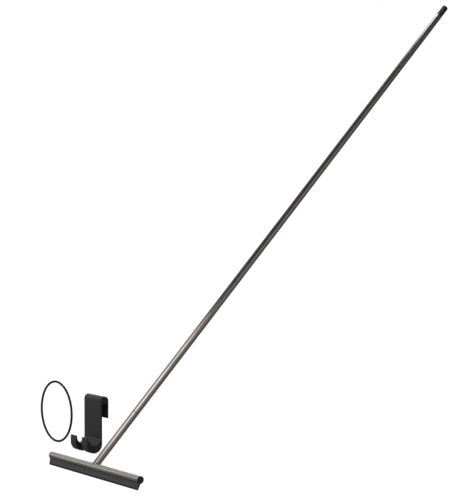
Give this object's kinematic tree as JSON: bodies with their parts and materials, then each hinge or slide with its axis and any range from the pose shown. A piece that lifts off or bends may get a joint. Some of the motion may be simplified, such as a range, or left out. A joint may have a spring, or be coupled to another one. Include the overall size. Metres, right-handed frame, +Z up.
{
  "type": "window squeegee",
  "caption": "Long-handled window squeegee: T-shaped tubular steel head with a rubber blade, screwed pole, forked over-glass hook and loose rubber ring.",
  "frame": {"origin": "middle of the blade's working edge, on the ground", "axes": "+Z up, +X along the head to the right end cap, +Y the way the pole leans back"},
  "size_m": [0.6937, 1.0709, 1.0951],
  "materials": {
    "stainless": "satin, drawn lengthwise",
    "blade_rubber": "smooth extruded rubber",
    "black_plastic": "fine moulded texture",
    "hook_plastic": "satin moulded",
    "ring_rubber": "satin moulded",
    "turned_aluminium": "turned",
    "turned_steel": "turned, zinc plated"
  },
  "bodies": {
    "head": {"head_tube": "stainless", "neck_tube": "stainless", "neck_plug": "turned_aluminium", "thread_stud": "turned_steel"},
    "washer": {"joint_washer": "black_plastic"},
    "pole": {"pole_tube": "stainless", "pole_cap": "black_plastic", "pole_socket": "turned_aluminium"},
    "blade": {"rubber_blade": "blade_rubber"},
    "left_cap": {"end_cap_left": "black_plastic"},
    "right_cap": {"end_cap_right": "black_plastic"},
    "hook": {"hook_body": "hook_plastic"},
    "ring": {"rubber_ring": "ring_rubber"}
  },
  "joints": [
    {"name": "joint_feed", "type": "slide", "parent": "head", "child": "washer", "axis": [0, 0.7034, 0.7108], "range_m": [0, 0.0161]},
    {"name": "pole_unscrew", "type": "hinge", "parent": "washer", "child": "pole", "pos_m": [0, 0.11134, 0.12774], "axis": [0, 0.7034, 0.7108], "range_deg": [0, 2880]},
    {"name": "blade_slide", "type": "slide", "parent": "head", "child": "blade", "axis": [1, 0, 0], "range_m": [0, 0.365]},
    {"name": "right_cap_pull", "type": "slide", "parent": "head", "child": "right_cap", "axis": [1, 0, 0], "range_m": [0, 0.365]},
    {"name": "left_cap_pull", "type": "slide", "parent": "head", "child": "left_cap", "axis": [-1, 0, 0], "range_m": [0, 0.02]},
    {"name": "hook_lift", "type": "slide", "parent": "head", "child": "hook", "axis": [0, 0, 1], "range_m": [0, 0.1]},
    {"name": "ring_lift", "type": "slide", "parent": "head", "child": "ring", "axis": [0, 0, 1], "range_m": [0, 0.1]}
  ],
  "couplings": [
    {"joint": "joint_feed", "follows": "pole_unscrew", "m_per_rad": 0.00031831},
    {"joint": "right_cap_pull", "follows": "blade_slide", "ratio": 1}
  ]
}
